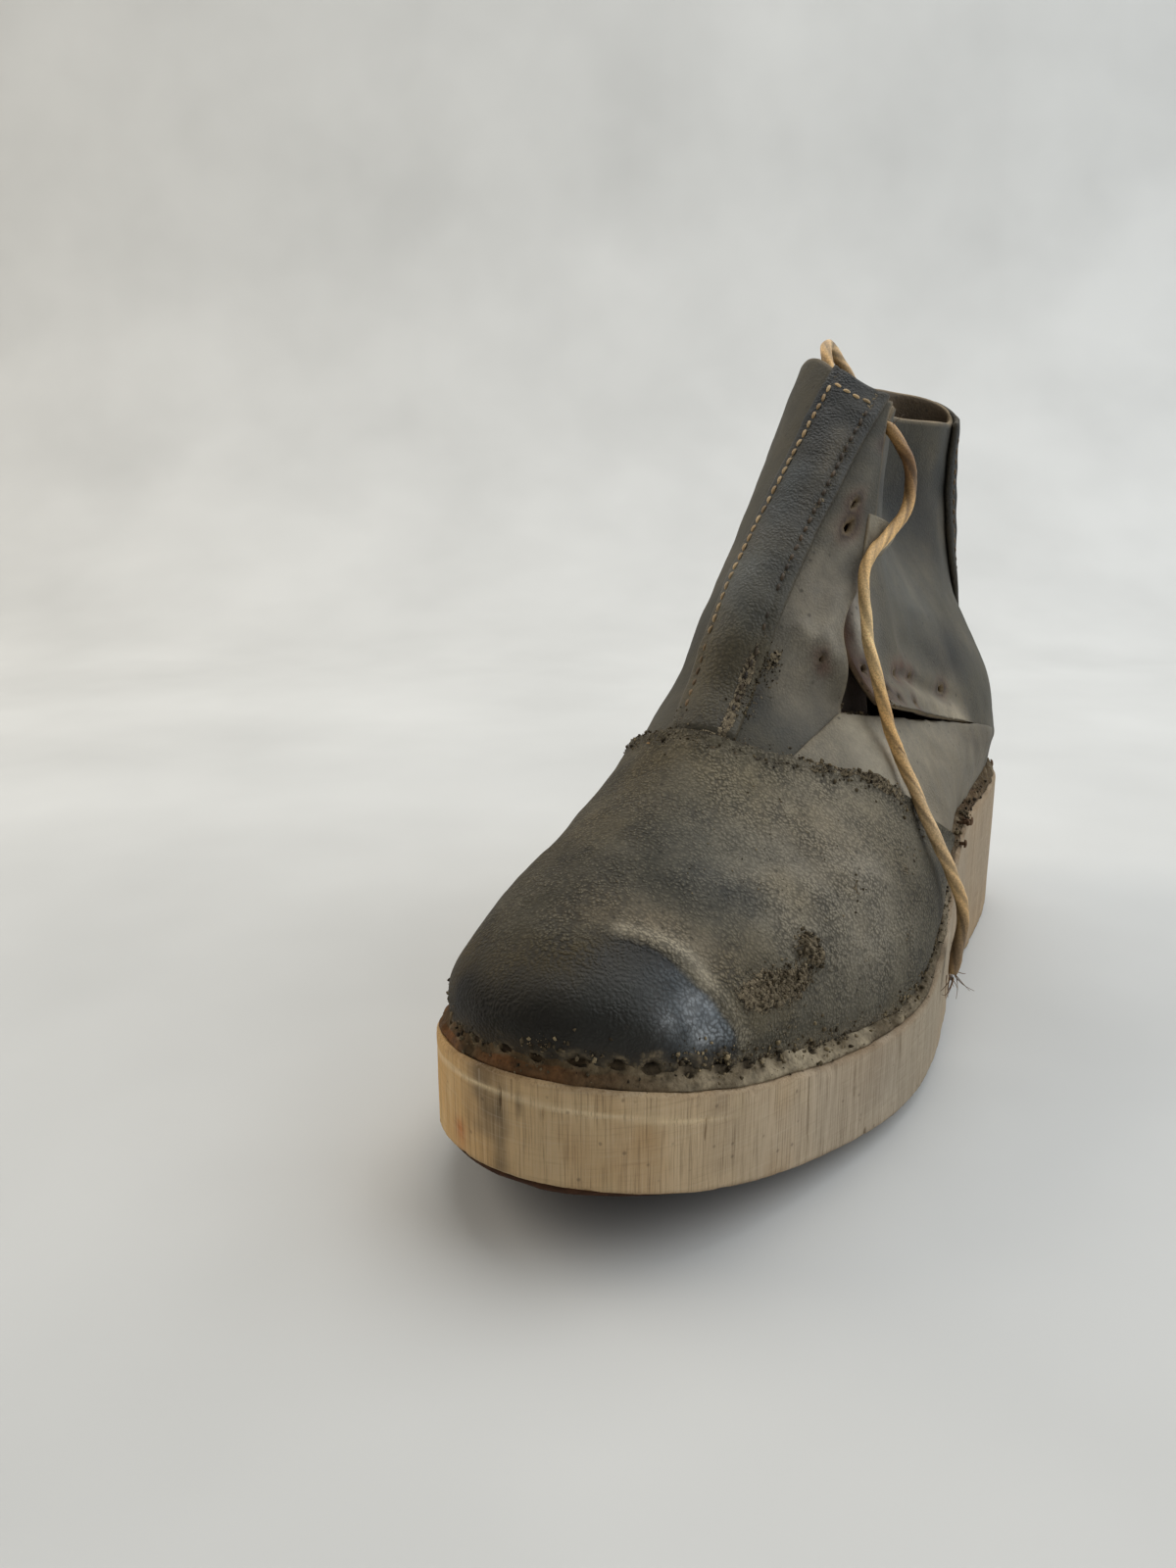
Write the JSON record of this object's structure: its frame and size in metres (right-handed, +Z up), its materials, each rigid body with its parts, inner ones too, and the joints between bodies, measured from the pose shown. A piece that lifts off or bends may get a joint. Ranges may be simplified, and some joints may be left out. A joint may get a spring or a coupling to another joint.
{
  "type": "wooden-soled ankle boot",
  "caption": "Left ankle boot, worn and dirty: a dark leather upper nailed through a rand to a thick wooden sole, with a loose lace.",
  "frame": {"origin": "on the floor, under the middle of the boot's length and width, measured without the lace", "axes": "+Z up, -Y towards the toe, +X towards the boot's outer (little toe) side"},
  "size_m": [0.1092, 0.2904, 0.1958],
  "materials": {
    "bare_wood": "bare, sawn, stained",
    "tread_leather": "worn, dull",
    "insole_leather": "worn, dull",
    "rand_leather": "ragged, dusty",
    "upper_leather": "grained, scuffed, dusty",
    "strip_leather": "grained, blue-black, half gloss",
    "stay_leather": "grained, blue-black, dull",
    "waxed_cord": "waxed, twisted"
  },
  "bodies": {
    "root": {"wood_sole": "bare_wood", "sole_tread": "tread_leather", "insole": "insole_leather", "rand": "rand_leather", "upper": "upper_leather", "front_strip": "strip_leather", "back_stay": "stay_leather", "lace": "waxed_cord"}
  },
  "joints": []
}
